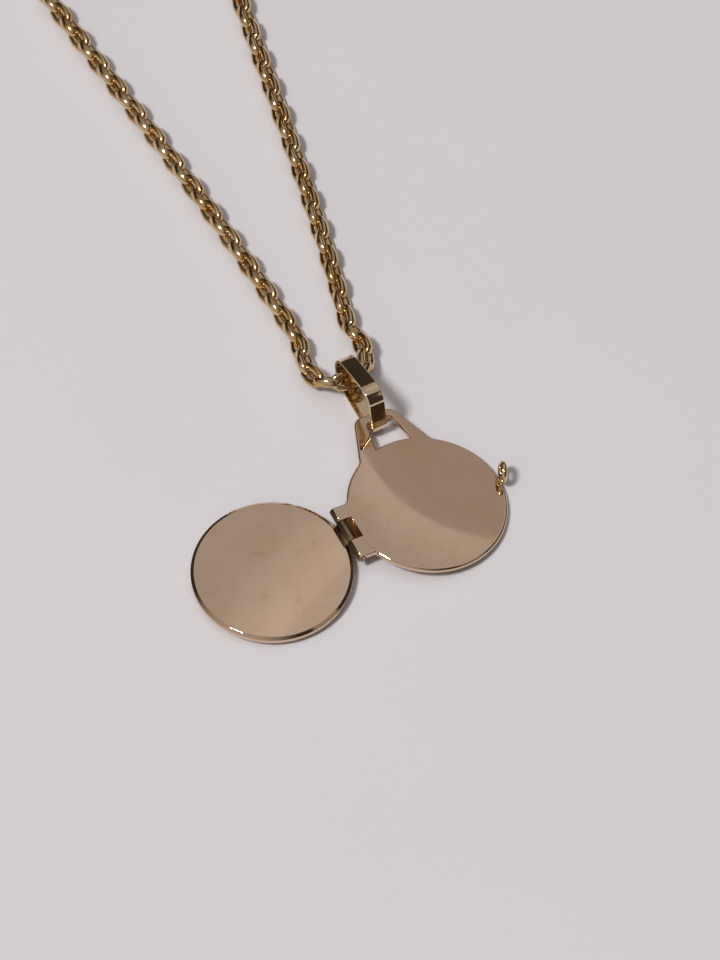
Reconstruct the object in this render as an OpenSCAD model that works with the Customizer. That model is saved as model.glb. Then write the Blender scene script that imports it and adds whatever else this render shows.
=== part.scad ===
// Open locket pendant with its bail and belcher chain, lying on a table.
// Millimetres, +Z up. The origin is on the table under the middle of the cover,
// +X runs from the cover across the hinge and +Y towards the bail and the chain.

/* [Cover] */
// Diameter of the front half
cover_d = 20.2; // [20:0.1:20.4]
// Thickness of its rim
cover_rim_t = 0.9; // [0.8:0.05:1]
// Height that its low dome adds below the rim
cover_dome = 0.7; // [0.5:0.05:0.8]
// Diameter of the flat spot that it rests on
cover_flat_d = 10; // [6:0.5:12]

/* [Back plate] */
// Diameter of the back half
plate_d = 20.3; // [20.2:0.1:20.4]
// Thickness of the back half, its tab and its loop
plate_t = 0.8; // [0.75:0.05:0.85]
// Radius of its rounded edge
plate_edge_r = 0.36; // [0.3:0.01:0.37]
// Distance from the hinge axis to the middle of the back half
plate_c = 11.1; // [11:0.01:11.15]

/* [Hinge] */
// Distance from the middle of the cover to the hinge axis
hinge_x = 10.55; // [10.45:0.01:10.6]
// Length over the three knuckles
hinge_l = 8; // [7.6:0.1:8.2]
// Length of the middle knuckle
knuckle_l = 3; // [2.6:0.1:3.4]
// Offset of the middle knuckle towards the bail
knuckle_y = 0.4; // [0:0.1:0.5]
// Outer diameter of the knuckles
knuckle_d = 1.2; // [1.1:0.05:1.3]
// Diameter of the hinge pin
pin_d = 0.5; // [0.4:0.05:0.6]
// Gap all round the pin
pin_gap = 0.03; // [0.02:0.01:0.05]
// Gap at each end of the middle knuckle
knuckle_gap = 0.1; // [0.08:0.01:0.15]
// Reach of the slot past the axis
slot_reach = 1.4; // [1.35:0.05:1.6]
// Reach of the part of the slot that is cut right through
slot_through = 0.8; // [0.78:0.01:0.85]
// Thickness of the metal under the rest of the slot
slot_floor = 0.2; // [0.18:0.01:0.22]
// Reach of the neck of the cover past the axis
neck_reach = 1.15; // [1.1:0.05:1.2]
// Gap between the inner faces when shut
leaf_gap = 0.05; // [0.04:0.01:0.08]
// Fillet of the tab on the side of the bail
tab_fillet_up = 1; // [0.8:0.1:1.2]
// Fillet of the tab on the other side
tab_fillet_down = 0.4; // [0.3:0.1:0.6]

/* [Loop] */
// Half width of the loop where it leaves the disc
loop_root_w = 5; // [4.9:0.1:5.2]
// Distance from the middle of the disc to that level
loop_root_y = 9; // [8.9:0.1:9.1]
// Half width that it loses for each mm of height
loop_taper = 0.38; // [0.36:0.01:0.4]
// Distance from the middle of the disc to the top of the bar
loop_top = 15.1; // [15:0.1:15.2]
// Height of the bar that carries the bail
bar_h = 1.2; // [1.1:0.05:1.25]
// Half width of the hole at its bottom
hole_bottom_w = 2.4; // [2.3:0.1:2.5]
// Half width of the hole at the bar
hole_top_w = 1.75; // [1.74:0.01:1.85]
// Offset of the hole away from the hinge
hole_x = 0.3; // [0.2:0.05:0.3]
// Radius of the outer top corners
loop_corner_r = 1.4; // [1.2:0.1:1.6]
// Radius of the top corners of the hole
hole_corner_r = 0.6; // [0.5:0.1:0.8]
// Fillet between the loop and the disc
loop_fillet = 1.2; // [1:0.1:1.4]

/* [Catch ring] */
// Outer diameter of the ring
catch_d = 2.9; // [2.8:0.1:3]
// Thickness of its wire
catch_wire = 0.84; // [0.8:0.02:0.88]
// Distance from the middle of the disc
catch_r = 10.35; // [10.32:0.01:10.4]
// Place along the rim, degrees from +X
catch_a = -2; // [-4:1:-1]
// Turn of the ring off the line of the rim
catch_turn = -18; // [-20:1:0]
// Height of the middle of the ring over the inner face
catch_h = 1.35; // [1.3:0.05:1.4]

/* [Bail] */
// Place along the bar, from the middle towards the hinge
bail_place = 0.36; // [0.3:0.01:0.4]
// Width of the band
bail_w = 2.1; // [1.9:0.1:2.3]
// Thickness of the band
bail_t = 0.4; // [0.36:0.02:0.44]

/* [Chain] */
// Outer length of a link
link_l = 3.95; // [3.92:0.01:3.98]
// Outer width of a link
link_w = 2.6; // [2.56:0.01:2.64]
// Thickness of the band of a link
link_t = 0.48; // [0.45:0.01:0.5]
// Width of the band of a link
link_b = 0.76; // [0.7:0.01:0.78]
// Cut corner inside a link
link_corner = 0.35; // [0.3:0.01:0.4]
// Distance from one link to the next along the chain
link_pitch = 2.41; // [2.4:0.01:2.42]
// Turn of each link about the line of the chain, to one side and the other in turn
link_roll = 45; // [43:1:47]
// Place of the first link along the line of the chain
chain_start = 0.35; // [0.3:0.05:0.4]
// Outer length of the clasp link
clasp_l = 9; // [8:0.1:10]

/* [Hidden] */
$fn = 64;
gold = [0.72, 0.52, 0.3];

cover_r = cover_d / 2;
cover_t = cover_rim_t + cover_dome;
plate_r = plate_d / 2;
knuckle_r = knuckle_d / 2;
bore_r = pin_d / 2 + pin_gap;
slot_w = knuckle_l + 2 * knuckle_gap;

// the shut inner faces lie one knuckle radius from the axis, with the gap between
hinge_z = cover_t + leaf_gap + knuckle_r;

// the back half leans until its far edge touches the table
far_x = plate_c + plate_r - plate_edge_r;
far_z = knuckle_r - plate_t + plate_edge_r;
plate_tilt = asin((hinge_z - plate_edge_r) / norm([far_x, far_z])) + atan(far_z / far_x);

// the bail stands upright over its place on the bar
bail_x = hinge_x + (plate_c - bail_place) * cos(plate_tilt) + knuckle_r * sin(plate_tilt);
// outline of the bail: [y, z, radius] of the three rounds that it is drawn over
BAIL_ROUNDS = [
    [14.8, 2.5, 2.5],
    [15.1, 5.7, 2.1],
    [19.8, 3.1, 3.1]
];

// height of the middle of a link that lies on the table
rest_z = link_w / 2 * sin(link_roll) + link_b / 2 * cos(link_roll);
// line of the chain round the whole loop: [x, y, height over its resting height]
ROUTE = [
    [21.5, 20.4, 1.33],
    [23.6, 21.1, 1.29],
    [25.3, 24.35, 0.67],
    [25.2, 28.35, 0],
    [25.6, 29.9, 0],
    [26.8, 34.6, 0],
    [28.9, 43.8, 0],
    [31.8, 58.0, 0],
    [35.4, 77.0, 0],
    [42.6, 115, 0],
    [50.0, 155, 0],
    [56.0, 190, 0],
    [54.5, 211, 0],
    [43.0, 225, 0],
    [27.0, 229, 0],
    [12.0, 219, 0],
    [5.0, 203, 0],
    [6.0, 180, 0],
    [9.5, 140, 0],
    [13.8, 90.8, 0],
    [15.2, 76.5, 0],
    [17.0, 57.2, 0],
    [18.0, 42.7, 0],
    [18.4, 33.2, 0],
    [18.35, 28.2, 0.13],
    [17.55, 26.2, 0.38],
    [17.25, 23.2, 0.69],
    [19.1, 21.0, 1.22]
];
// points worked out along each stretch of the route
ROUTE_STEPS = 12;
clasp_pitch = clasp_l - (link_l - link_pitch);
// the clasp takes its place half way round
CLASP_PLACE = 0.5;

// points of a round stretch, leaving out the first "skip" of them
function arc(c, r, a0, a1, n, skip = 0) = [
    for (i = [skip:n])
        let (a = a0 + (a1 - a0) * i / n)
        c + r * [cos(a), sin(a)]
];

function mirrored(points) = [for (i = [len(points) - 1:-1:0]) [-points[i].x, points[i].y]];

// smooth closed curve through the route: point at a share u of the stretch after point i
function route_at(i, u) =
    let (
        n = len(ROUTE),
        a = ROUTE[(i + n - 1) % n],
        b = ROUTE[i % n],
        c = ROUTE[(i + 1) % n],
        d = ROUTE[(i + 2) % n],
        p = 0.5 * (2 * b + (c - a) * u + (2 * a - 5 * b + 4 * c - d) * u * u
            + (3 * b - a - 3 * c + d) * u * u * u)
    )
    [p.x, p.y, max(p.z, 0) + rest_z];

LINE = [for (i = [0:len(ROUTE) - 1], k = [0:ROUTE_STEPS - 1]) route_at(i, k / ROUTE_STEPS)];
LINE_N = len(LINE);

function line_point(i) = LINE[i % LINE_N];

// running length at each point of the line
RUN = [
    for (i = 0, s = 0; i <= LINE_N; s = s + norm(line_point(i + 1) - line_point(i)), i = i + 1)
        [i, s]
];
RUN_X = [for (i = [0:LINE_N]) [RUN[i][1], line_point(i).x]];
RUN_Y = [for (i = [0:LINE_N]) [RUN[i][1], line_point(i).y]];
RUN_Z = [for (i = [0:LINE_N]) [RUN[i][1], line_point(i).z]];
line_l = RUN[LINE_N][1];

function at_run(s) = [for (run = [RUN_X, RUN_Y, RUN_Z]) lookup(s % line_l, run)];

// an odd number of links and the clasp, so that the turns alternate all round
link_n = 2 * round((line_l - clasp_pitch) / link_pitch / 2 - 0.5) + 1;
pitch = (line_l - clasp_pitch) / link_n;
clasp_i = round(link_n * CLASP_PLACE);

// running length at the start of piece k of the chain, counting the clasp as one
function piece_run(k) = chain_start + ((k <= clasp_i) ? k * pitch : (k - 1) * pitch + clasp_pitch);

// places the children with the middle of piece k at the origin and its length along X
module at_piece(k) {
    start = at_run(piece_run(k));
    end = at_run(piece_run(k + 1));
    along = end - start;
    translate((start + end) / 2)
        rotate([0, -asin(along.z / norm(along)), atan2(along.y, along.x)])
            rotate([link_roll * (k % 2 == 0 ? -1 : 1), 0, 0])
                children();
}

// one link: round ends, a hole with cut corners, extruded to the width of the band
module link(length) {
    r = link_w / 2;
    x = length / 2 - link_t;
    y = r - link_t;
    c = link_corner;
    translate([0, 0, -link_b / 2])
        linear_extrude(link_b)
            difference() {
                union() {
                    square([length - link_w, link_w], center = true);
                    translate([length / 2 - r, 0])
                        circle(r);
                    translate([r - length / 2, 0])
                        circle(r);
                }
                polygon([
                    [x, c - y], [x, y - c], [x - c, y], [c - x, y],
                    [-x, y - c], [-x, c - y], [c - x, -y], [x - c, -y]
                ]);
            }
}

// places the children in the frame of the back half: its middle on the inner face
module plate_frame() {
    translate([hinge_x, 0, hinge_z])
        rotate([0, plate_tilt, 0])
            translate([plate_c, 0, knuckle_r])
                children();
}

// round bar along Y on the hinge axis, from y0 to y1
module axis_bar(y0, y1, r) {
    translate([0, y1, 0])
        rotate([90, 0, 0])
            cylinder(h = y1 - y0, r = r);
}

module plate_disc() {
    r = plate_r - plate_edge_r;
    e = plate_edge_r;
    rotate_extrude()
        polygon(concat(
            [[0, -plate_t]],
            arc([r, e - plate_t], e, -90, 0, 4),
            arc([r, -e], e, 0, 90, 4),
            [[0, 0]]
        ));
}

// fillet between the disc and the side of the tab, on the side y > 0
module tab_fillet(f) {
    c = [-sqrt(pow(plate_r + f, 2) - pow(hinge_l / 2 + f, 2)), hinge_l / 2 + f];
    foot = c * plate_r / (plate_r + f);
    a = atan2(foot.y - c.y, foot.x - c.x);
    polygon(concat(arc(c, f, -90, a, 6), [[foot.x, 0], [c.x, 0]]));
}

module tab() {
    translate([0, 0, -plate_t])
        linear_extrude(plate_t) {
            translate([-plate_c, -hinge_l / 2])
                square([plate_c / 2, hinge_l]);
            tab_fillet(tab_fillet_up);
            mirror([0, 1])
                tab_fillet(tab_fillet_down);
        }
}

// right half of the outline of the loop, from the disc up to the top of the bar
function loop_side() =
    let (
        d = [-loop_taper, 1] / norm([loop_taper, 1]),
        out = [d.y, -d.x],
        lean = atan(loop_taper),
        p = [loop_root_w, loop_root_y] + loop_fillet * out,
        reach = plate_r + loop_fillet,
        c = p + d * (sqrt(pow(p * d, 2) - p * p + reach * reach) - p * d),
        foot = c * plate_r / reach,
        a = atan2(foot.y - c.y, foot.x - c.x) + 360,
        side = loop_root_w + loop_taper * loop_root_y,
        k_y = loop_top - loop_corner_r,
        k_x = side - loop_taper * k_y - loop_corner_r / cos(lean)
    )
    concat(
        arc(c, loop_fillet, a, 180 + lean, 6),
        arc([k_x, k_y], loop_corner_r, lean, 90, 6)
    );

// right half of the outline of the hole, from below the rim up to the bar
function hole_side() =
    let (
        top = loop_top - bar_h,
        slope = (hole_bottom_w - hole_top_w) / (top - plate_r),
        lean = atan(slope),
        k_y = top - hole_corner_r,
        k_x = hole_top_w + slope * hole_corner_r - hole_corner_r / cos(lean)
    )
    concat(
        [[hole_bottom_w + slope, plate_r - 1]],
        arc([k_x, k_y], hole_corner_r, lean, 90, 4)
    );

module loop() {
    side = loop_side();
    hole = hole_side();
    base = [[-side[0].x, side[0].y - 2], [side[0].x, side[0].y - 2]];
    translate([0, 0, -plate_t])
        linear_extrude(plate_t)
            difference() {
                polygon(concat(base, side, mirrored(side)));
                translate([hole_x, 0])
                    polygon(concat(hole, mirrored(hole)));
            }
}

// upright ring on a short soldered foot at the rim
module catch_ring() {
    foot_r = plate_t / 2 - 0.02;
    rotate([0, 0, catch_a]) {
        translate([catch_r, 0, catch_h])
            rotate([0, 0, catch_turn])
                rotate([0, 90, 0])
                    rotate_extrude()
                        translate([(catch_d - catch_wire) / 2, 0])
                            circle(catch_wire / 2);
        translate([catch_r - catch_wire / 4, 0, -plate_t * 0.7])
            cylinder(h = plate_t * 0.7 + catch_h - catch_d / 2 + catch_wire / 2, r = foot_r);
    }
}

module back_plate() {
    half = hinge_l / 2;
    color(gold)
        plate_frame() {
            difference() {
                union() {
                    plate_disc();
                    tab();
                    translate([-plate_c, 0, -knuckle_r]) {
                        axis_bar(knuckle_y + slot_w / 2, half, knuckle_r);
                        axis_bar(-half, knuckle_y - slot_w / 2, knuckle_r);
                    }
                }
                translate([-plate_c, knuckle_y - slot_w / 2, 0]) {
                    translate([-2, 0, -3])
                        cube([2 + slot_through, slot_w, 6]);
                    translate([0, 0, slot_floor - plate_t])
                        cube([slot_reach, slot_w, 3]);
                }
                translate([-plate_c, 0, -knuckle_r])
                    axis_bar(-half - 1, half + 1, bore_r);
            }
            loop();
            catch_ring();
        }
}

module cover_disc() {
    e = cover_rim_t / 2;
    r = cover_r - e;
    f = cover_flat_d / 2;
    z = (cover_dome * cover_dome + r * r - f * f) / (2 * cover_dome);
    dome_r = norm([z, f]);
    rotate_extrude()
        polygon(concat(
            [[0, 0]],
            arc([0, z], dome_r, asin(f / dome_r) - 90, asin(r / dome_r) - 90, 6),
            arc([r, cover_dome + e], e, -90, 90, 8, 1),
            [[0, cover_t]]
        ));
}

// neck that carries the middle knuckle, seen from the side: [x, z]
module neck() {
    x = hinge_x;
    z = hinge_z;
    translate([0, knuckle_y + knuckle_l / 2, 0])
        rotate([90, 0, 0])
            linear_extrude(knuckle_l)
                polygon([
                    [x - neck_reach, cover_t - cover_rim_t * 0.7],
                    [x - knuckle_r, cover_t - cover_rim_t * 0.5],
                    [x, z - knuckle_r * 0.95],
                    [x, z],
                    [x - knuckle_r * 0.7, z + knuckle_r * 0.65],
                    [x - neck_reach, cover_t + leaf_gap]
                ]);
}

module cover() {
    color(gold)
        difference() {
            union() {
                cover_disc();
                neck();
                translate([hinge_x, knuckle_y, hinge_z])
                    axis_bar(-knuckle_l / 2, knuckle_l / 2, knuckle_r);
            }
            translate([hinge_x, 0, hinge_z])
                axis_bar(-knuckle_l, knuckle_l, bore_r);
        }
}

module hinge_pin() {
    color(gold * 0.9)
        translate([hinge_x, 0, hinge_z])
            axis_bar(-hinge_l / 2, hinge_l / 2, pin_d / 2);
}

// side view of the bail, drawn tight over its rounds, each less by "inset"
module bail_side(inset) {
    hull()
        for (b = BAIL_ROUNDS)
            translate([b[0], b[1]])
                circle(b[2] - inset, $fn = 40);
}

module bail() {
    color(gold)
        translate([bail_x - bail_w / 2, 0, 0])
            rotate([90, 0, 90])
                linear_extrude(bail_w)
                    difference() {
                        bail_side(0);
                        bail_side(bail_t);
                    }
}

module chain() {
    color(gold)
        for (k = [0:link_n])
            if (k != clasp_i)
                at_piece(k)
                    link(link_l);
}

module clasp() {
    color(gold * 0.95)
        at_piece(clasp_i)
            link(clasp_l);
}

back_plate();
cover();
hinge_pin();
bail();
chain();
clasp();
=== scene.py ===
"""Open gold locket with its band bail and belcher chain, lying on a pale table.

Lengths are typed in millimetres, as in the part's source, and go into the meshes in metres.
The row frame has its origin under the middle of the cover, +X across the hinge, +Y along the chain.
"""
import math

import bpy
import numpy as np
from mathutils import Matrix, Vector
from mathutils.geometry import tessellate_polygon


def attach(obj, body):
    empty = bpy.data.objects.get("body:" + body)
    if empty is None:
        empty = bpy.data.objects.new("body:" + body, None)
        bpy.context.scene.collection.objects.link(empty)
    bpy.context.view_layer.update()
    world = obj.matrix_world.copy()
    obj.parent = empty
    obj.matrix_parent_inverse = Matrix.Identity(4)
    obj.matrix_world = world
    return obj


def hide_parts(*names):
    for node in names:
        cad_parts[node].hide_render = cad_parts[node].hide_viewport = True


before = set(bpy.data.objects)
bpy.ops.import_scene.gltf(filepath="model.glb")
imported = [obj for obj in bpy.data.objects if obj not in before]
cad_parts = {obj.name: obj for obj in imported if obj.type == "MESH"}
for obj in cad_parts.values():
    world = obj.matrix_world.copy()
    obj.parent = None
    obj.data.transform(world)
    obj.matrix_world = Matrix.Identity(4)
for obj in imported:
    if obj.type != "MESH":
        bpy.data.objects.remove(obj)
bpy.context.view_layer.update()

MM = 0.001
QUARTER = math.pi / 2
FRONT_HALF = "front_half"
BACK_HALF = "back_half"

# cover: its rim, the dome below, the flat spot that it rests on, and the rim's bevel and low edge
COVER_R = 10.1
COVER_RIM_T = 0.9
COVER_DOME = 0.7
COVER_FLAT_R = 5.0
COVER_BEVEL_W = 0.42
COVER_BEVEL_H = 0.25
COVER_LOW_EDGE = 0.22
COVER_STEPS = 192
COVER_T = COVER_RIM_T + COVER_DOME

# back plate, whose middle is PLATE_C from the hinge
PLATE_R = 10.146
PLATE_T = 0.8
PLATE_EDGE = 0.36
PLATE_C = 11.1
PLATE_STEPS = 150

# hinge along Y, with the middle knuckle a little off the middle, in a slot of the back half's tab;
# the slot is cut through near the hinge and keeps a thin floor further in
HINGE_X = 10.55
KNUCKLE_R = 0.6
LEAF_GAP = 0.05
HINGE_Z = COVER_T + LEAF_GAP + KNUCKLE_R
HINGE_HALF = 4.0
KNUCKLE_Y = 0.4
KNUCKLE_HALF = 1.5
MIDDLE_ROUND = 0.05
OUTER_ROUND = 0.12
SLOT_HALF = 1.6
SLOT_REACH = 1.4
SLOT_THROUGH = 0.8
SLOT_FLOOR = 0.2
NECK_REACH = 1.15
NECK_EDGE = 0.07
PIN_R = 0.25
PIN_DOME = 0.06
PIN_INSET = 0.01
BORE_R = 0.28
TAB_REACH = 0.3
TAB_FILLET_UP = 1.0
TAB_FILLET_DOWN = 0.4
TAB_EDGE = 0.25
SHARP_EDGE = 0.1

# loop that carries the bail, in the back plate's own x and y: its legs lean in, and its bar is above
# a hole whose sides close in too; the widths of its root and its hole are half widths
LOOP_ROOT_W = 5.0
LOOP_ROOT_Y = 9.0
LOOP_TAPER = 0.38
LOOP_TOP = 15.1
LOOP_CORNER = 1.4
LOOP_FILLET = 1.2
LOOP_EDGE = 0.3
BAR_H = 1.2
HOLE_BOTTOM_W = 2.4
HOLE_TOP_W = 1.75
HOLE_X = 0.3
HOLE_CORNER = 0.6
HOLE_EDGE = 0.25

# catch ring: its size, its place by radius and angle on the plate, its own turn, and its middle's height
CATCH_D = 2.9
CATCH_WIRE = 0.84
CATCH_R = 10.35
CATCH_A = math.radians(-2)
CATCH_TURN = math.radians(-18)
CATCH_H = 1.35

# bail: its place along the bar towards the hinge, and [y, z, radius] of the three rounds that its
# side view is drawn over
BAIL_PLACE = 0.36
BAIL_ROUNDS = np.array([
    [14.8, 2.5, 2.5],
    [19.8, 3.1, 3.1],
    [15.1, 5.7, 2.1],
])
BAIL_W = 2.1
BAIL_T = 0.4
BAIL_EDGE = 0.11
BAIL_STEP = math.radians(4)

# belcher chain: a link's size and the width of its band, the distance from link to link, their roll
# about the line of the chain, and the height of their middles on the table
LINK_L = 3.95
LINK_W = 2.6
LINK_BAND = 0.76
LINK_PITCH = 2.41
LINK_ROLL = math.radians(45)
LINK_REST_Z = LINK_W / 2 * math.sin(LINK_ROLL) + LINK_BAND / 2 * math.cos(LINK_ROLL)
# section of a link's band: [across, depth below the outer face], flat outside, with corners cut so
# that rolled links lie on the table, and thick enough inside to close round the next links
LINK_SECTION = np.array([
    [-0.6, 0.45], [-0.58, 0.23], [-0.36, 0.01], [0.38, 0.01], [0.53, 0.14], [0.6, 0.45], [0.3, 1.08],
    [-0.3, 1.08],
])
# power of a link's outline, and the share of its width that the band loses at the ends
LINK_POWER = 2.5
LINK_WAIST = 0.22
# points round a link and round the clasp
LINK_STEPS = 10
CLASP_STEPS = 28
# where the first joint is along the line, the clasp's length, and the share of the links before it
CHAIN_START = 0.35
CLASP_L = 9.0
CLASP_PLACE = 0.5
# how much further from the locket the two strands lie where the photograph shows them, and the
# stretches of y over which that grows, outwards and then inwards
CHAIN_SHIFT = 0.6
SHIFT_IN = (22, 30)
SHIFT_OUT = (190, 120)
# line of the chain: [x, y, height over its resting height], and the steps from one point to the next
ROUTE = np.array([
    [21.5, 20.4, 1.33],
    [23.6, 21.1, 1.29],
    [25.3, 24.35, 0.67],
    [25.2, 28.35, 0],
    [25.6, 29.9, 0],
    [26.8, 34.6, 0],
    [28.9, 43.8, 0],
    [31.8, 58.0, 0],
    [35.4, 77.0, 0],
    [42.6, 115, 0],
    [50.0, 155, 0],
    [56.0, 190, 0],
    [54.5, 211, 0],
    [43.0, 225, 0],
    [27.0, 229, 0],
    [12.0, 219, 0],
    [5.0, 203, 0],
    [6.0, 180, 0],
    [9.5, 140, 0],
    [13.8, 90.8, 0],
    [15.2, 76.5, 0],
    [17.0, 57.2, 0],
    [18.0, 42.7, 0],
    [18.4, 33.2, 0],
    [18.35, 28.2, 0.13],
    [17.55, 26.2, 0.38],
    [17.25, 23.2, 0.69],
    [19.1, 21.0, 1.22],
])
ROUTE_STEPS = 12


def plate_tilt():
    """Angle at which the back half leans so that its far rounded edge touches the table."""
    far_x = PLATE_C + PLATE_R - PLATE_EDGE
    far_z = KNUCKLE_R - PLATE_T + PLATE_EDGE
    return math.asin((HINGE_Z - PLATE_EDGE) / math.hypot(far_x, far_z)) + math.atan(far_z / far_x)


PLATE_FRAME = (
    Matrix.Translation((HINGE_X, 0, HINGE_Z))
    @ Matrix.Rotation(plate_tilt(), 4, "Y")
    @ Matrix.Translation((PLATE_C, 0, KNUCKLE_R))
)
BAIL_X = (PLATE_FRAME @ Vector((-BAIL_PLACE, 0, 0))).x


# mesh helpers

def grid_quads(rows, cols, close_rows=False, close_cols=False):
    """Corner numbers of the quads of a grid of rows by cols points; a closed side joins last to first."""
    row = np.arange(rows if close_rows else rows - 1)
    col = np.arange(cols if close_cols else cols - 1)
    row, col = (a.ravel() for a in np.meshgrid(row, col, indexing="ij"))
    row2, col2 = (row + 1) % rows, (col + 1) % cols
    return np.stack([row * cols + col, row * cols + col2, row2 * cols + col2, row2 * cols + col], axis=1)


def placed(points, matrix):
    """Points carried by a 4 by 4 matrix."""
    m = np.array(matrix)
    return points @ m[:3, :3].T + m[:3, 3]


def make_piece(name, shells, body, material, replaces=()):
    """Makes one smooth object from shells of (points in mm, faces as number arrays)."""
    points, corners, starts = [], [], []
    n_points = n_corners = 0
    for shell_points, *face_sets in shells:
        for faces in face_sets:
            corners.append((faces + n_points).ravel())
            starts.append(n_corners + np.arange(len(faces)) * faces.shape[1])
            n_corners += faces.size
        points.append(shell_points)
        n_points += len(shell_points)
    starts = np.concatenate(starts)
    mesh = bpy.data.meshes.new(name)
    mesh.vertices.add(n_points)
    mesh.vertices.foreach_set("co", (np.concatenate(points) * MM).astype(np.float32).ravel())
    mesh.loops.add(n_corners)
    mesh.loops.foreach_set("vertex_index", np.concatenate(corners).astype(np.int32))
    mesh.polygons.add(len(starts))
    mesh.polygons.foreach_set("loop_start", starts.astype(np.int32))
    mesh.polygons.foreach_set("use_smooth", np.ones(len(starts), dtype=bool))
    mesh.update(calc_edges=True)
    mesh.validate()
    piece = bpy.data.objects.new(name, mesh)
    bpy.context.scene.collection.objects.link(piece)
    mesh.materials.append(material)
    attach(piece, body)
    if replaces:
        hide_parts(*replaces)


def arc(centre, r, from_a, to_a, n, skip=0):
    """Points on a circle from one angle to another in radians, in n steps, without the first skip
    points."""
    angle = np.linspace(from_a, to_a, n + 1)[skip:]
    return np.asarray(centre) + r * np.stack([np.cos(angle), np.sin(angle)], axis=1)


def revolve(profile, n):
    """Solid of revolution about Z: ring k has the profile's radius and height, and the first and
    last profile points lie on the axis and become single pole points."""
    angle = np.linspace(0, 2 * math.pi, n, endpoint=False)
    rings = profile[1:-1]
    body = np.stack([
        np.outer(rings[:, 0], np.cos(angle)),
        np.outer(rings[:, 0], np.sin(angle)),
        np.repeat(rings[:, 1:], n, axis=1),
    ], axis=2).reshape(-1, 3)
    poles = np.array([[0, 0, profile[0, 1]], [0, 0, profile[-1, 1]]])
    col = np.arange(n)
    col2 = (col + 1) % n
    last = (len(rings) - 1) * n
    low = np.stack([np.full(n, len(body)), col2, col], axis=1)
    high = np.stack([np.full(n, len(body) + 1), last + col, last + col2], axis=1)
    quads = grid_quads(len(rings), n, close_cols=True)
    return np.concatenate([body, poles]), quads, np.concatenate([low, high])


def ring_of_revolution(section, n):
    """Ring about Z: a closed section of (radius, height) points, given against the clock, turned
    once round the axis."""
    angle = np.linspace(0, 2 * math.pi, n, endpoint=False)
    points = np.stack([
        np.outer(np.cos(angle), section[:, 0]),
        np.outer(np.sin(angle), section[:, 0]),
        np.tile(section[:, 1], (n, 1)),
    ], axis=2).reshape(-1, 3)
    return points, grid_quads(n, len(section), True, True)[:, ::-1]


def outward_miters(outline):
    """Offset direction at each point of a closed outline given against the clock: the sum of the two
    edge normals over one plus their product, so that both edges move by the same distance. At a
    corner so sharp that it would run far out, the divisor stays at a least value."""
    edge = np.roll(outline, -1, axis=0) - outline
    edge /= np.linalg.norm(edge, axis=1, keepdims=True)
    normal = np.stack([edge[:, 1], -edge[:, 0]], axis=1)
    before = np.roll(normal, 1, axis=0)
    share = 1 + np.sum(normal * before, axis=1, keepdims=True)
    least = 0.3
    return (normal + before) / np.maximum(share, least)


def rounded_plate(loops, thickness, steps=6):
    """Plate between z = -thickness and 0 with rounded edges. Each loop is (outline, edge radius for
    each point); the first runs against the clock and holes run with it. The edge is a quarter round
    above and below: inset e (1 - sin a), drop e (1 - cos a). A ring a little further in keeps the
    faces flat up to their edge, and triangles fill them."""
    angle = np.linspace(0, QUARTER, steps + 1)
    inset = np.concatenate([1 - np.sin(angle), (1 - np.sin(angle))[::-1]])
    drop = np.concatenate([1 - np.cos(angle), (1 - np.cos(angle))[::-1]])
    top = np.arange(2 * steps + 2) <= steps
    support = 0.03
    points, quads, tops, bottoms = [], [], [], []
    count = 0
    for outline, edge in loops:
        miter = outward_miters(outline)
        n = len(outline)
        layers = []
        for share, fall, is_top in zip(inset, drop, top):
            z = -edge * fall if is_top else edge * fall - thickness
            layers.append(np.column_stack([outline - miter * (edge * share)[:, None], z]))
        flat = outline - miter * (edge + support)[:, None]
        layers.insert(0, np.column_stack([flat, np.zeros(n)]))
        layers.append(np.column_stack([flat, np.full(n, -thickness)]))
        points.append(np.concatenate(layers))
        quads.append(grid_quads(len(layers), n, close_cols=True)[:, ::-1] + count)
        tops.append(count + np.arange(n))
        bottoms.append(count + (len(layers) - 1) * n + np.arange(n))
        count += len(layers) * n
    points = np.concatenate(points)

    def cap(rings, up):
        """Triangles over a flat face between its rings, all turned up or all turned down."""
        order = np.concatenate(rings)
        tris = tessellate_polygon([[Vector(points[i]) for i in ring] for ring in rings])
        tris = order[np.array(tris)]
        p, q, r = (points[tris[:, i], :2] for i in range(3))
        turn = (q[:, 0] - p[:, 0]) * (r[:, 1] - p[:, 1]) - (q[:, 1] - p[:, 1]) * (r[:, 0] - p[:, 0])
        wrong = (turn > 0) != up
        tris[wrong] = tris[wrong][:, ::-1]
        return tris

    return points, np.concatenate(quads), np.concatenate([cap(tops, True), cap(bottoms, False)])


def turned(shell, matrix):
    """A shell with its points carried by a matrix."""
    return (placed(shell[0], matrix), *shell[1:])


def smooth_round(values, times):
    """A closed row of numbers, each replaced a few times by a mean in which it counts twice and its
    two neighbours once."""
    for _ in range(times):
        values = (np.roll(values, 1) + 2 * values + np.roll(values, -1)) / 4
    return values


# pieces

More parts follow.
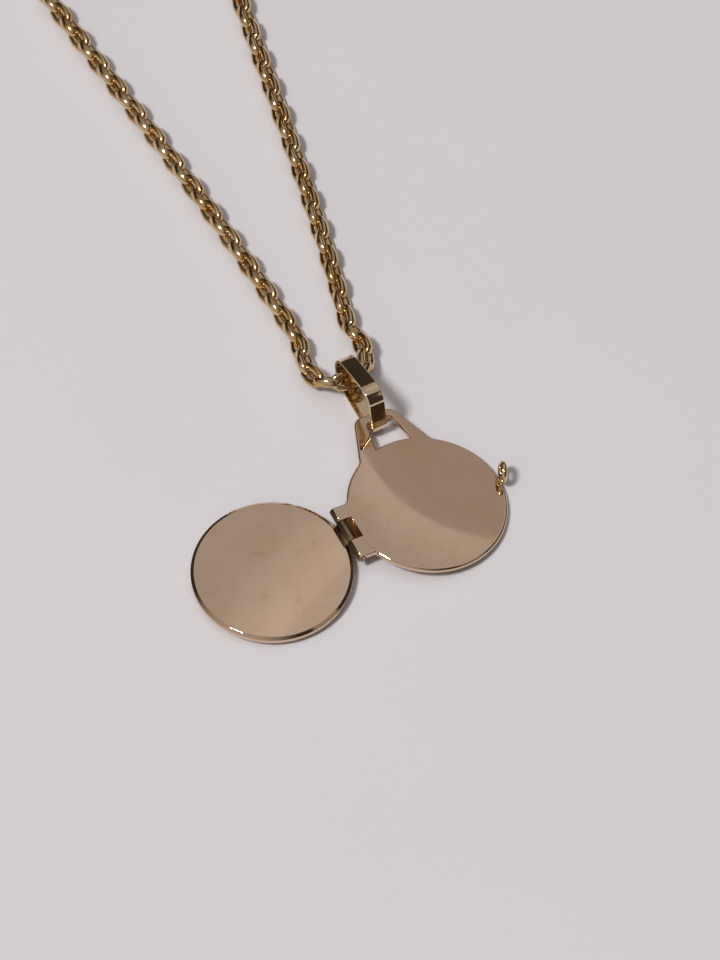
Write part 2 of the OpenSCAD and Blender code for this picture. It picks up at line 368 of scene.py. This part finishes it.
def cover_disc():
    """Front half: a revolved profile of a flat spot, a spherical dome, an upright rim, a flat bevel and
    a flat inner face, with rings close to each side of a bend so that flats stay flat."""
    edge = COVER_LOW_EDGE
    dome_reach = COVER_R - edge
    dome_z = (COVER_DOME ** 2 + dome_reach ** 2 - COVER_FLAT_R ** 2) / (2 * COVER_DOME)
    dome_r = math.hypot(dome_z, COVER_FLAT_R)
    from_a, to_a = (math.asin(reach / dome_r) - QUARTER for reach in (COVER_FLAT_R, dome_reach))
    outer = np.array([COVER_R, COVER_T - COVER_BEVEL_H])
    inner = np.array([COVER_R - COVER_BEVEL_W, COVER_T])
    spot_ring = [COVER_FLAT_R - 0.2, 0]
    side_rings = [outer - (0, gap) for gap in (0.08, 0.04)]
    bevel_rings = [outer + (inner - outer) * share for share in (0.06, 0.12, 0.88, 0.94)]
    face_rings = [inner - (gap, 0) for gap in (0.04, 0.1)]
    profile = np.concatenate([
        [[0, 0], spot_ring],
        arc((0, dome_z), dome_r, from_a, to_a, 12),
        arc((dome_reach, COVER_DOME + edge), edge, -QUARTER, 0, 10, 1),
        side_rings,
        bevel_rings,
        face_rings,
        [[0, COVER_T]],
    ])
    return revolve(profile, COVER_STEPS)


def knuckle(from_y, to_y, end_round):
    """Tube along Y on the hinge axis: its section is a bore line with small bevels, and an outer line
    with round ends and a flat beside each."""
    bevel, flat = 0.02, 0.01
    r = KNUCKLE_R - end_round
    section = np.concatenate([
        [[BORE_R, from_y + bevel], [BORE_R + bevel, from_y], [r - flat, from_y]],
        arc((r, from_y + end_round), end_round, -QUARTER, 0, 5),
        arc((r, to_y - end_round), end_round, 0, QUARTER, 5),
        [[r - flat, to_y], [BORE_R + bevel, to_y], [BORE_R, to_y - bevel]],
    ])
    return turned(ring_of_revolution(section, 48), Matrix.Rotation(-QUARTER, 4, "X"))


def pin():
    """Pin along Y: a straight round bar with low domed ends, each drawn by shares of the pin's radius
    and of the dome's height."""
    shares = np.array([[0, 0], [0.6, 0.25], [0.9, 0.7], [1, 1.6]])
    low = shares * [PIN_R, PIN_DOME] - [0, HINGE_HALF - PIN_INSET]
    profile = np.concatenate([low, (low * [1, -1])[::-1]])
    return turned(revolve(profile, 32), Matrix.Rotation(-QUARTER, 4, "X"))


def neck():
    """Neck of the cover: its side view in (x, z), given a thickness along Y by a rounded plate."""
    x, z = HINGE_X, HINGE_Z
    side = np.array([
        [x - NECK_REACH, COVER_T - COVER_RIM_T * 0.7],
        [x - KNUCKLE_R, COVER_T - COVER_RIM_T * 0.5],
        [x, z - KNUCKLE_R * 0.95],
        [x + 0.1, z],
        [x - KNUCKLE_R * 0.7, z + KNUCKLE_R * 0.65],
        [x - NECK_REACH, COVER_T + LEAF_GAP],
    ])
    plate = rounded_plate([(side, np.full(len(side), NECK_EDGE))], 2 * KNUCKLE_HALF, 3)
    upright = Matrix.Translation((0, KNUCKLE_Y - KNUCKLE_HALF, 0)) @ Matrix.Rotation(QUARTER, 4, "X")
    return turned(plate, upright)


def tab_foot(fillet):
    """Centre of a fillet between the disc and the tab's side y > 0, and where it meets the disc."""
    side = HINGE_HALF + fillet
    centre = np.array([-math.sqrt((PLATE_R + fillet) ** 2 - side ** 2), side])
    return centre, centre * PLATE_R / (PLATE_R + fillet)


def loop_side():
    """Right side of the loop, and where it meets the disc: a fillet, a leg that leans in and a round
    top corner. The fillet's centre is on a line beside the leg, where it is both radii away from the
    disc's middle."""
    lean = math.atan(LOOP_TAPER)
    leg = np.array([-LOOP_TAPER, 1]) / math.hypot(LOOP_TAPER, 1)
    outwards = np.array([leg[1], -leg[0]])
    beside = np.array([LOOP_ROOT_W, LOOP_ROOT_Y]) + LOOP_FILLET * outwards
    reach = PLATE_R + LOOP_FILLET
    along = beside @ leg
    centre = beside + leg * (math.sqrt(along ** 2 - beside @ beside + reach ** 2) - along)
    foot = centre * PLATE_R / reach
    foot_a = math.atan2(foot[1] - centre[1], foot[0] - centre[0]) + 2 * math.pi
    side_x = LOOP_ROOT_W + LOOP_TAPER * LOOP_ROOT_Y
    corner_y = LOOP_TOP - LOOP_CORNER
    corner_x = side_x - LOOP_TAPER * corner_y - LOOP_CORNER / math.cos(lean)
    return np.concatenate([
        arc(centre, LOOP_FILLET, foot_a, math.pi + lean, 10),
        arc((corner_x, corner_y), LOOP_CORNER, lean, QUARTER, 12),
    ]), foot


def back_outline():
    """Outline of the back half against the clock: the loop, the disc, the slotted tab and the disc
    again. Each point has its own edge radius: full on the disc, small round the slot."""
    side, foot = loop_side()
    loop = np.concatenate([side, (side * [-1, 1])[::-1]])
    up_centre, up_foot = tab_foot(TAB_FILLET_UP)
    down_centre, down_foot = tab_foot(TAB_FILLET_DOWN)
    end_x = -PLATE_C - TAB_REACH
    slot_x = SLOT_REACH - PLATE_C
    slot_top, slot_low = KNUCKLE_Y + SLOT_HALF, KNUCKLE_Y - SLOT_HALF
    loop_a = math.atan2(foot[1], foot[0])
    up_a = math.atan2(up_foot[1], up_foot[0])
    down_a = -math.atan2(down_foot[1], down_foot[0])
    up_turn = math.atan2(up_foot[1] - up_centre[1], up_foot[0] - up_centre[0])
    down_turn = math.atan2(down_foot[1] - down_centre[1], down_foot[0] - down_centre[0])
    stretches = [
        (loop, LOOP_EDGE),
        (arc((0, 0), PLATE_R, math.pi - loop_a, up_a, 28, 1)[:-1], PLATE_EDGE),
        (arc(up_centre, TAB_FILLET_UP, up_turn, -QUARTER, 8), TAB_EDGE),
        (np.array([[end_x, HINGE_HALF], [end_x, slot_top]]), SHARP_EDGE),
        (np.array([[slot_x, slot_top], [slot_x, slot_low]]), SHARP_EDGE / 4),
        (np.array([[end_x, slot_low], [end_x, -HINGE_HALF]]), SHARP_EDGE),
        (arc(down_centre * [1, -1], TAB_FILLET_DOWN, QUARTER, -down_turn, 8), TAB_EDGE),
        (arc((0, 0), PLATE_R, down_a, loop_a, PLATE_STEPS, 1)[:-1], PLATE_EDGE),
    ]
    outline = np.concatenate([points for points, _ in stretches])
    edge = np.concatenate([np.full(len(points), radius) for points, radius in stretches])
    return outline, smooth_round(edge, 2)


def slot_floor():
    """Thin sheet left under the far part of the slot: a rounded plate that runs a little into the
    metal on its three sides."""
    lap, edge = 0.1, 0.03
    left, right = SLOT_THROUGH - PLATE_C, SLOT_REACH - PLATE_C + lap
    low, top = KNUCKLE_Y - SLOT_HALF - lap, KNUCKLE_Y + SLOT_HALF + lap
    outline = np.array([[left, low], [right, low], [right, top], [left, top]])
    sheet = rounded_plate([(outline, np.full(len(outline), edge))], SLOT_FLOOR, 2)
    return turned(sheet, Matrix.Translation((0, 0, SLOT_FLOOR - PLATE_T)))


def hole_outline():
    """Hole between the disc and the bar, with the clock: the disc's own edge below, sides that close
    in and round corners under the bar."""
    top = LOOP_TOP - BAR_H
    slope = (HOLE_BOTTOM_W - HOLE_TOP_W) / (top - PLATE_R)
    lean = math.atan(slope)
    corner = (HOLE_TOP_W + slope * HOLE_CORNER - HOLE_CORNER / math.cos(lean), top - HOLE_CORNER)
    right = arc(corner, HOLE_CORNER, lean, QUARTER, 8)
    from_a, to_a = (math.acos((HOLE_X + side) / PLATE_R) for side in (-HOLE_BOTTOM_W, HOLE_BOTTOM_W))
    bottom = arc((0, 0), PLATE_R, from_a, to_a, 12)
    shift = np.array([HOLE_X, 0])
    outline = np.concatenate([bottom, right + shift, (right * [-1, 1])[::-1] + shift])[::-1]
    return outline, np.full(len(outline), HOLE_EDGE)


def torus(ring_r, wire_r, n_ring, n_wire):
    """Torus about Z: a circle of the wire's radius carried round a circle of the ring's radius."""
    return ring_of_revolution(arc((ring_r, 0), wire_r, 0, 2 * math.pi, n_wire)[:-1], n_ring)


def catch_ring():
    """Upright ring near the rim and the short round foot that it is soldered by, which runs from
    inside the plate into the ring's wire."""
    ring = torus((CATCH_D - CATCH_WIRE) / 2, CATCH_WIRE / 2, 64, 20)
    spin = Matrix.Rotation(CATCH_A, 4, "Z")
    stand = (
        Matrix.Translation((CATCH_R, 0, CATCH_H))
        @ Matrix.Rotation(CATCH_TURN, 4, "Z")
        @ Matrix.Rotation(QUARTER, 4, "Y")
    )
    foot_r = PLATE_T / 2 - 0.02
    low, high = -PLATE_T * 0.7, CATCH_H - CATCH_D / 2 + CATCH_WIRE / 2
    foot = revolve(np.array([
        [0, low], [foot_r * 0.8, low], [foot_r, low + 0.08], [foot_r, high - 0.1], [0, high],
    ]), 32)
    at_foot = Matrix.Translation((CATCH_R - CATCH_WIRE / 4, 0, 0))
    return [
        turned(ring, PLATE_FRAME @ spin @ stand),
        turned(foot, PLATE_FRAME @ spin @ at_foot),
    ]


def bail_line():
    """Side view of the bail as (points, outward normals) in (y, z): arcs on the rounds between the
    tangents of neighbouring rounds. A tangent's normal leans from the line of centres by the arc
    cosine of the difference of the radii over their distance."""
    centres, radii = BAIL_ROUNDS[:, :2], BAIL_ROUNDS[:, 2]
    step = np.roll(centres, -1, axis=0) - centres
    distance = np.linalg.norm(step, axis=1)
    lean = np.arccos((radii - np.roll(radii, -1)) / distance)
    leave = np.arctan2(step[:, 1], step[:, 0]) - lean
    points, normals = [], []
    for centre, r, from_a, to_a in zip(centres, radii, np.roll(leave, 1), leave):
        sweep = (to_a - from_a) % (2 * math.pi)
        angle = np.linspace(from_a, from_a + sweep, round(sweep / BAIL_STEP))
        normal = np.stack([np.cos(angle), np.sin(angle)], axis=1)
        points.append(centre + r * normal)
        normals.append(normal)
    return np.concatenate(points), np.concatenate(normals)


def bail():
    """Band carried round the bail's side view. Its section is a rectangle with round corners, and
    its outer face is very slightly hollow."""
    edge, half, thick = BAIL_EDGE, BAIL_W / 2, BAIL_T
    middle, hollow = half * 0.3, 0.002
    section = np.concatenate([
        arc((half - edge, -edge), edge, 0, QUARTER, 5),
        [[middle, -hollow], [-middle, -hollow]],
        arc((edge - half, -edge), edge, QUARTER, 2 * QUARTER, 5),
        arc((edge - half, edge - thick), edge, 2 * QUARTER, 3 * QUARTER, 5),
        [[-middle, -thick], [middle, -thick]],
        arc((half - edge, edge - thick), edge, 3 * QUARTER, 4 * QUARTER, 5),
    ])
    line, normal = bail_line()
    rows, cols = len(line), len(section)
    side = line[:, None, :] + normal[:, None, :] * section[None, :, 1:]
    across = np.broadcast_to(BAIL_X + section[None, :, :1], (rows, cols, 1))
    points = np.concatenate([across, side], axis=2).reshape(-1, 3)
    return points, grid_quads(rows, cols, True, True)


def link(length, n):
    """Link about the origin, its length along X and its band across Z. Its outline is a superellipse:
    (x / a) and (y / b), each to the power m, add up to one. The section is carried round it, at its
    depth along the inward normal, and narrows towards the ends by a share of (x / a) squared."""
    half = np.array([length, LINK_W]) / 2
    angle = (np.arange(n) + 0.5) * 2 * math.pi / n
    turn = np.stack([np.cos(angle), np.sin(angle)], axis=1)
    outline = half * np.sign(turn) * np.abs(turn) ** (2 / LINK_POWER)
    normal = np.sign(turn) * np.abs(outline / half) ** (LINK_POWER - 1) / half
    normal /= np.linalg.norm(normal, axis=1, keepdims=True)
    across, depth = LINK_SECTION.T
    flat = outline[:, None, :] - normal[:, None, :] * depth[None, :, None]
    width = 1 - LINK_WAIST * (outline[:, :1] / half[0]) ** 2
    points = np.concatenate([flat, (width * across)[:, :, None]], axis=2)
    return points.reshape(-1, 3), grid_quads(n, len(depth), True, True)


def chain_line():
    """Running length and points along the whole chain: a closed Catmull-Rom curve through the
    route, never below the resting height."""
    before, start, end, after = (np.roll(ROUTE, k, axis=0)[:, None, :] for k in (1, 0, -1, -2))
    u = (np.arange(ROUTE_STEPS) / ROUTE_STEPS)[None, :, None]
    line = 0.5 * (
        2 * start
        + (end - before) * u
        + (2 * before - 5 * start + 4 * end - after) * u ** 2
        + (3 * start - before - 3 * end + after) * u ** 3
    )
    line = line.reshape(-1, 3)
    line[:, 2] = np.maximum(line[:, 2], 0) + LINK_REST_Z
    line = np.concatenate([line, line[:1]])
    run = np.concatenate([[0], np.cumsum(np.linalg.norm(np.diff(line, axis=0), axis=1))])
    return run, line


def smooth_step(values, start, end):
    """Rises from 0 at the start to 1 at the end as 3 t squared less 2 t cubed; the start may be the
    greater of the two."""
    t = np.clip((values - start) / (end - start), 0, 1)
    return t * t * (3 - 2 * t)


def chain_frames():
    """Middle and turn of each piece of the chain: X along the chord between two joints, Z up and
    then rolled about X to one side and the other in turn. The links are an odd number, so that they
    and the clasp keep that turn all round. Also the number of the clasp."""
    run, line = chain_line()
    clasp_pitch = CLASP_L - (LINK_L - LINK_PITCH)
    links = 2 * round((run[-1] - clasp_pitch) / LINK_PITCH / 2 - 0.5) + 1
    pitch = (run[-1] - clasp_pitch) / links
    clasp = math.floor(links * CLASP_PLACE + 0.5)
    number = np.arange(links + 2)
    at = (CHAIN_START + number * pitch + np.where(number > clasp, clasp_pitch - pitch, 0)) % run[-1]
    joint = np.stack([np.interp(at, run, line[:, i]) for i in range(3)], axis=1)
    away = joint[:, 1]
    joint[:, 1] += CHAIN_SHIFT * smooth_step(away, *SHIFT_IN) * smooth_step(away, *SHIFT_OUT)
    x = np.diff(joint, axis=0)
    x /= np.linalg.norm(x, axis=1, keepdims=True)
    level = np.cross([0, 0, 1], x)
    level /= np.linalg.norm(level, axis=1, keepdims=True)
    upright = np.cross(x, level)
    roll = np.where(number[:-1] % 2 == 0, -LINK_ROLL, LINK_ROLL)[:, None]
    y = np.cos(roll) * level + np.sin(roll) * upright
    z = np.cos(roll) * upright - np.sin(roll) * level
    return (joint[1:] + joint[:-1]) / 2, np.stack([x, y, z], axis=1), clasp


def laid_links(shell, middles, turns):
    """A link's shell copied to each place: its points times the three directions, plus the middle."""
    points, quads = shell
    laid = np.einsum("pi,kij->kpj", points, turns) + middles[:, None, :]
    faces = quads[None] + (np.arange(len(middles)) * len(points))[:, None, None]
    return laid.reshape(-1, 3), faces.reshape(-1, 4)


# materials

def linear(hex_code):
    """Linear colour of an sRGB hex value."""
    value = np.array([int(hex_code[i:i + 2], 16) / 255 for i in (1, 3, 5)])
    value = np.where(value <= 0.04045, value / 12.92, ((value + 0.055) / 1.055) ** 2.4)
    return (*value, 1.0)


def add_node(tree, kind, settings=None, inputs=None):
    """Adds a node with its settings; an input is a value or another node's output."""
    node = tree.nodes.new(kind)
    for key, value in (settings or {}).items():
        setattr(node, key, value)
    for key, value in (inputs or {}).items():
        if isinstance(value, bpy.types.NodeSocket):
            tree.links.new(value, node.inputs[key])
        else:
            node.inputs[key].default_value = value
    return node


def new_material(name):
    """An empty node material and its tree."""
    material = bpy.data.materials.new(name)
    material.use_nodes = True
    material.node_tree.nodes.clear()
    return material, material.node_tree


def gold(name, light, deep, rough, haze, groove, wave):
    """Yellow gold: metallic, in two close tones; haze is how far finger marks and fine polishing
    scratches roughen it. Groove is how deep the scratches are and wave how far the metal is from
    flat, both in millimetres."""
    material, tree = new_material(name)
    place = add_node(tree, "ShaderNodeTexCoord").outputs["Object"]
    # soft clouds of handling, about 4 mm across
    cloud = add_node(tree, "ShaderNodeTexNoise", inputs={
        "Vector": place, "Scale": 1 / (4 * MM), "Detail": 4, "Roughness": 0.55})
    # fine scratches: noise stretched along a skew line, about 0.25 mm wide, which is ten times as
    # coarse as the real ones, so that they show
    skew = add_node(tree, "ShaderNodeMapping", inputs={
        "Vector": place, "Rotation": (0, 0, 0.6), "Scale": (1 / (0.25 * MM), 1 / (3 * MM), 1 / (1 * MM))})
    scratch = add_node(tree, "ShaderNodeTexNoise", inputs={
        "Vector": skew.outputs[0], "Scale": 1, "Detail": 3, "Roughness": 0.6})
    # slow waves left by rolling and polishing, about 9 mm long
    swell = add_node(tree, "ShaderNodeTexNoise", inputs={
        "Vector": place, "Scale": 1 / (9 * MM), "Detail": 1, "Roughness": 0.4})
    tone = add_node(tree, "ShaderNodeMapRange", {"interpolation_type": "SMOOTHSTEP"}, {
        "Value": cloud.outputs[0], "From Min": 0.35, "From Max": 0.7})
    colour = add_node(tree, "ShaderNodeMix", {"data_type": "RGBA"}, {
        "Factor": tone.outputs[0], 6: linear(light), 7: linear(deep)})
    # a few small smudges, less than 1.9 mm across, that dull the colour a little
    spot = add_node(tree, "ShaderNodeTexNoise", inputs={
        "Vector": place, "Scale": 1 / (1.9 * MM), "Detail": 1, "Roughness": 0.4})
    smudge = add_node(tree, "ShaderNodeMapRange", {"interpolation_type": "SMOOTHSTEP"}, {
        "Value": spot.outputs[0], "From Min": 0.68, "From Max": 0.8, "To Min": 0.0, "To Max": 0.09})
    dulled = add_node(tree, "ShaderNodeMix", {"data_type": "RGBA"}, {
        "Factor": smudge.outputs[0], 6: colour.outputs[2], 7: linear("#5A4A3A")})
    marks = add_node(tree, "ShaderNodeMath", {"operation": "MULTIPLY"}, {
        0: cloud.outputs[0], 1: scratch.outputs[0]})
    roughness = add_node(tree, "ShaderNodeMapRange", inputs={
        "Value": marks.outputs[0], "From Min": 0.15, "From Max": 0.4,
        "To Min": rough, "To Max": rough + haze})
    fine = add_node(tree, "ShaderNodeBump", inputs={
        "Strength": 1.0, "Distance": groove * MM, "Height": scratch.outputs[0]})
    slow = add_node(tree, "ShaderNodeBump", inputs={
        "Strength": 1.0, "Distance": wave * MM, "Height": swell.outputs[0], "Normal": fine.outputs[0]})
    shader = add_node(tree, "ShaderNodeBsdfPrincipled", inputs={
        "Base Color": dulled.outputs[2], "Metallic": 1.0, "Roughness": roughness.outputs[0],
        "Normal": slow.outputs[0]})
    add_node(tree, "ShaderNodeOutputMaterial", inputs={"Surface": shader.outputs[0]})
    return material


def table_paint():
    """Matt pale lacquer of a table top: one even tone with a very faint grain, no gloss to speak of."""
    material, tree = new_material("matt_table_lacquer")
    place = add_node(tree, "ShaderNodeTexCoord").outputs["Object"]
    grain = add_node(tree, "ShaderNodeTexNoise", inputs={
        "Vector": place, "Scale": 1 / (30 * MM), "Detail": 2})
    colour = add_node(tree, "ShaderNodeMix", {"data_type": "RGBA"}, {
        "Factor": grain.outputs[0], 6: linear("#D6D3D6"), 7: linear("#D9D5D7")})
    shader = add_node(tree, "ShaderNodeBsdfPrincipled", inputs={
        "Base Color": colour.outputs[2], "Roughness": 0.85})
    add_node(tree, "ShaderNodeOutputMaterial", inputs={"Surface": shader.outputs[0]})
    return material


# 9 carat gold sheet, machine polished flat: a clear mirror, pale and a little pink, with faint clouds
SHEET_GOLD = gold(
    "worn_polished_gold_sheet", "#E8CBAF", "#E4C5A6", rough=0.012, haze=0.02, groove=0.00004, wave=0.0012)
# the same gold bent by hand into a band: yellower, with softer mirrored shapes that bend a little
BAND_GOLD = gold(
    "polished_gold_band", "#E7CFAA", "#DFC192", rough=0.09, haze=0.06, groove=0.0008, wave=0.002)
# belcher chain: links barrelled to a soft shine, with patches of a deeper tone
CHAIN_GOLD = gold(
    "barrelled_chain_gold", "#E2C597", "#CFA66B", rough=0.10, haze=0.06, groove=0.0008, wave=0.0)
# hinge barrels: polished, with the gold darkened in colour as painted shade of the hinge
SHADED_BARREL_GOLD = gold(
    "hinge_gold_with_painted_shade", "#A89274", "#8E7656", rough=0.11, haze=0.08, groove=0.0008, wave=0.0)
# gold in the hinge slot, where no polishing wheel reaches: dull and rough, and darkened to brown as painted
# shade of the deep slot
SLOT_SHADE_GOLD = gold(
    "dull_gold_with_painted_slot_shade", "#6C4E2E", "#553A20", rough=0.5, haze=0.12, groove=0.002, wave=0.0)


# the object

def build_cover():
    """Front half: the disc, and the neck with the middle knuckle."""
    at_axis = Matrix.Translation((HINGE_X, 0, HINGE_Z))
    middle = turned(knuckle(KNUCKLE_Y - KNUCKLE_HALF, KNUCKLE_Y + KNUCKLE_HALF, MIDDLE_ROUND), at_axis)
    make_piece("cover_leaf", [cover_disc()], FRONT_HALF, SHEET_GOLD, ["cover"])
    # neck and middle knuckle in gold darkened as painted shade
    make_piece("middle_knuckle", [neck(), middle], FRONT_HALF, SHADED_BARREL_GOLD)


def build_back():
    """Back half: the plate with its loop, the slot's floor, the outer knuckles with the pin, the catch
    ring and the bail."""
    at_axis = PLATE_FRAME @ Matrix.Translation((-PLATE_C, 0, -KNUCKLE_R))
    plate = turned(rounded_plate([back_outline(), hole_outline()], PLATE_T), PLATE_FRAME)
    make_piece("back_leaf", [plate], BACK_HALF, SHEET_GOLD, ["back_plate"])
    # the slot's floor, in gold darkened to brown as painted shade of the slot
    floor = turned(slot_floor(), PLATE_FRAME)
    make_piece("hinge_slot_floor", [floor], BACK_HALF, SLOT_SHADE_GOLD)
    outer = [
        turned(knuckle(KNUCKLE_Y + SLOT_HALF, HINGE_HALF, OUTER_ROUND), at_axis),
        turned(knuckle(-HINGE_HALF, KNUCKLE_Y - SLOT_HALF, OUTER_ROUND), at_axis),
    ]
    # outer knuckles in gold darkened as painted shade
    make_piece("outer_knuckles", outer, BACK_HALF, SHADED_BARREL_GOLD)
    pin_shell = turned(pin(), Matrix.Translation((HINGE_X, 0, HINGE_Z)))
    make_piece("knuckle_pin", [pin_shell], BACK_HALF, BAND_GOLD, ["hinge_pin"])
    make_piece("rim_catch_ring", catch_ring(), BACK_HALF, BAND_GOLD)
    make_piece("bail_band", [bail()], BACK_HALF, BAND_GOLD, ["bail"])


def build_chain():
    """Necklace: all its links as one piece, and the longer link that closes it."""
    middles, turns, clasp = chain_frames()
    plain = np.arange(len(middles)) != clasp
    links = laid_links(link(LINK_L, LINK_STEPS), middles[plain], turns[plain])
    make_piece("belcher_links", [links], BACK_HALF, CHAIN_GOLD, ["chain"])
    closing = laid_links(link(CLASP_L, CLASP_STEPS), middles[clasp:clasp + 1], turns[clasp:clasp + 1])
    make_piece("closing_link", [closing], BACK_HALF, CHAIN_GOLD, ["clasp"])


# table, camera and light

# camera fitted to the photograph: a long lens from the front left, high over the table
PHOTO_H = 960
FOCAL_PX = 4640.0
VIEW_AZIMUTH = math.radians(-27.974)
VIEW_ELEVATION = math.radians(57.131)
VIEW_ROLL = math.radians(1.097)
SENSOR_W = 36.0
CAMERA_AT = Vector((-132.05, -271.34, 489.15))

# what the lights face, and the table top, whose side is in metres
LOCKET_AT = Vector((16.0, 8.0, 0.0))
TABLE_SIDE_M = 3.0
TABLE_GAP = 0.02

# directions in the row frame
KEY_DIRECTION = (-0.502, -0.072, 0.862)
FILL_DIRECTION = (0.0, 0.0, 1.0)
WALL_DIRECTION = (-0.80, -0.35, 0.50)
DOOR_DIRECTION = (0.52, -0.55, 0.65)
ROOM_DIRECTION = (0.30, 0.32, 0.90)
GLOW_DIRECTION = (0.305, 0.3118, 0.8999)
SHADE_DIRECTION = (0.4475, 0.4816, 0.7535)

# what the gold mirrors of the room, each part over the ones before it: its direction, the angles in
# degrees from there over which its edge fades out, how it joins what is behind it, and its colour
ROOM_DARK = "#38332D"
ROOM_PARTS = [
    (WALL_DIRECTION, 15, 60, "MIX", "#B5AEAB"),
    (DOOR_DIRECTION, 12, 17, "MIX", "#968F8B"),
    (ROOM_DIRECTION, 33, 40, "MIX", "#ADAAAA"),
    (GLOW_DIRECTION, 9.95, 11.0, "MIX", "#CBC8C8"),
    (GLOW_DIRECTION, 9.96, 9.98, "MULTIPLY", "#EFEFEF"),
    (SHADE_DIRECTION, 2.05, 2.7, "MIX", "#BDBABA"),
    (SHADE_DIRECTION, 2.05, 2.06, "MULTIPLY", "#DBD6D2"),
]


def build_table():
    """Flat square of table top just under the object."""
    half, z = TABLE_SIDE_M / 2, -TABLE_GAP * MM
    corners = [(-half, -half, z), (half, -half, z), (half, half, z), (-half, half, z)]
    mesh = bpy.data.meshes.new("table_top")
    mesh.from_pydata(corners, [], [(0, 1, 2, 3)])
    table = bpy.data.objects.new("table_top", mesh)
    bpy.context.scene.collection.objects.link(table)
    mesh.materials.append(table_paint())


def build_camera():
    """Camera whose axes are: back by azimuth and elevation, right level and then rolled about back."""
    back = Vector((
        math.sin(VIEW_AZIMUTH) * math.cos(VIEW_ELEVATION),
        -math.cos(VIEW_AZIMUTH) * math.cos(VIEW_ELEVATION),
        math.sin(VIEW_ELEVATION),
    ))
    level = Vector((math.cos(VIEW_AZIMUTH), math.sin(VIEW_AZIMUTH), 0))
    right = level * math.cos(VIEW_ROLL) + back.cross(level) * math.sin(VIEW_ROLL)
    up = back.cross(right)
    data = bpy.data.cameras.new("photo_camera")
    data.sensor_width = SENSOR_W
    data.lens = FOCAL_PX * SENSOR_W / PHOTO_H
    data.clip_start = 0.01
    camera = bpy.data.objects.new("photo_camera", data)
    place = CAMERA_AT * MM
    camera.matrix_world = Matrix([
        (right[0], up[0], back[0], place[0]),
        (right[1], up[1], back[1], place[1]),
        (right[2], up[2], back[2], place[2]),
        (0, 0, 0, 1),
    ])
    bpy.context.scene.collection.objects.link(camera)
    bpy.context.scene.camera = camera


def area_light(name, direction, distance, size, power, hex_code, mirrored=True):
    """Round softbox at a distance in a direction from the locket, facing it; both its lengths are in
    metres and its power in watts. One that isn't mirrored gives no highlight on the gold."""
    data = bpy.data.lights.new(name, "AREA")
    data.shape = "DISK"
    data.size = size
    data.energy = power
    data.color = linear(hex_code)[:3]
    light = bpy.data.objects.new(name, data)
    toward = Vector(direction).normalized()
    light.location = LOCKET_AT * MM + toward * distance
    light.visible_glossy = mirrored
    light.rotation_euler = toward.to_track_quat("Z", "Y").to_euler()
    bpy.context.scene.collection.objects.link(light)


def build_room():
    """World light: a dark room with a pale wall on the key light's side, a smaller pale patch to the
    front right and one broad pale part high behind the locket. In that are a panel with a glow round
    it, whose edge the cover mirrors as a faint line, and a small round shade with a lighter border
    that the back half mirrors."""
    world = bpy.data.worlds.new("studio_room")
    bpy.context.scene.world = world
    world.use_nodes = True
    tree = world.node_tree
    tree.nodes.clear()
    way = add_node(tree, "ShaderNodeTexCoord").outputs["Generated"]

    def patch(direction, inner, outer):
        """Round patch of the room: 1 near a direction, and 0 from the outer angle on."""
        toward = tuple(Vector(direction).normalized())
        dot = add_node(tree, "ShaderNodeVectorMath", {"operation": "DOT_PRODUCT"}, {0: way, 1: toward})
        return add_node(tree, "ShaderNodeMapRange", {"interpolation_type": "SMOOTHSTEP"}, {
            "Value": dot.outputs["Value"],
            "From Min": math.cos(math.radians(outer)), "From Max": math.cos(math.radians(inner))}).outputs[0]

    colour = linear(ROOM_DARK)
    for direction, inner, outer, join, hex_code in ROOM_PARTS:
        colour = add_node(tree, "ShaderNodeMix", {"data_type": "RGBA", "blend_type": join}, {
            "Factor": patch(direction, inner, outer), 6: colour, 7: linear(hex_code)}).outputs[2]
    background = add_node(tree, "ShaderNodeBackground", inputs={"Color": colour, "Strength": 1.0})
    add_node(tree, "ShaderNodeOutputWorld", inputs={"Surface": background.outputs[0]})


build_camera()
build_cover()
build_back()
build_chain()
build_table()
build_room()
area_light("key_softbox", KEY_DIRECTION, distance=2.4, size=0.44, power=37.0, hex_code="#FFFFFF")
area_light(
    "fill_softbox", FILL_DIRECTION, distance=2.5, size=2.4, power=7.4, hex_code="#FFF7FB", mirrored=False)
# the photograph's plain contrast
bpy.context.scene.view_settings.view_transform = "Standard"
